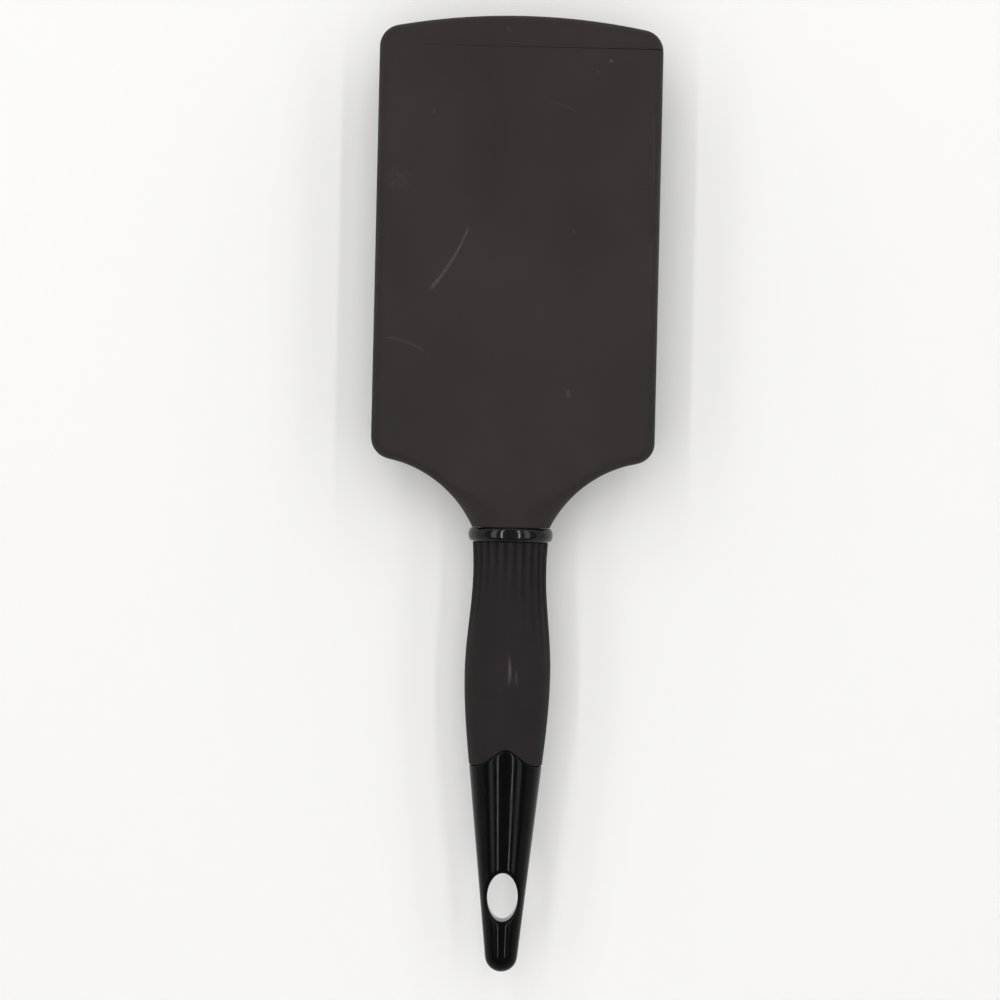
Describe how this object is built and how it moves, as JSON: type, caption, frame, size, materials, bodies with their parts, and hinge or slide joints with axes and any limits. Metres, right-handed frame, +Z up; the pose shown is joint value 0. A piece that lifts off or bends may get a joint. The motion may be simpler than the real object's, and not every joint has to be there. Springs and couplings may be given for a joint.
{
  "type": "paddle hair brush",
  "caption": "Paddle hair brush with a flat square-shouldered head, staggered pins on a rubber air cushion, and a waisted fluted grip ending in a gloss cap with a hanging hole.",
  "frame": {"origin": "on the plane of the pin tips, the surface the brush lies on, under the middle of its length and width", "axes": "+Z up out of the back of the head, +Y from the handle to the tip of the head, +X across the head"},
  "size_m": [0.0772, 0.261, 0.034],
  "materials": {
    "head_soft_touch": "charcoal soft-touch coat, lightly scuffed",
    "frame_plastic": "fine moulded texture, black",
    "inner_plastic": "plain moulded, hidden",
    "cushion_rubber": "smooth black rubber",
    "pin_nylon": "black nylon with rounded tips",
    "collar_gloss": "polished black",
    "grip_rubber": "matte soft rubber with shallow flutes",
    "cap_gloss": "polished black"
  },
  "bodies": {
    "brush": {"head_back_shell": "head_soft_touch", "head_tip_piece": "head_soft_touch", "cushion_frame": "frame_plastic", "cushion": "cushion_rubber", "pad_backing": "inner_plastic", "neck_collar": "collar_gloss", "grip_sleeve": "grip_rubber", "handle_core": "inner_plastic", "tail_cap": "cap_gloss"},
    "pin_field": {"pin_strip_01": "pin_nylon", "pin_strip_02": "pin_nylon", "pin_strip_03": "pin_nylon", "pin_strip_04": "pin_nylon", "pin_strip_05": "pin_nylon", "pin_strip_06": "pin_nylon", "pin_strip_07": "pin_nylon", "pin_strip_08": "pin_nylon", "pin_strip_09": "pin_nylon", "pin_strip_10": "pin_nylon", "pin_strip_11": "pin_nylon", "pin_strip_12": "pin_nylon", "pin_strip_13": "pin_nylon", "pin_strip_14": "pin_nylon", "pin_strip_15": "pin_nylon", "pin_strip_16": "pin_nylon"}
  },
  "joints": [
    {"name": "pad_press", "type": "slide", "parent": "brush", "child": "pin_field", "axis": [0, 0, 1], "range_m": [0, 0.003], "stiffness_N_per_m": 6000, "deforming": ["cushion"]}
  ]
}
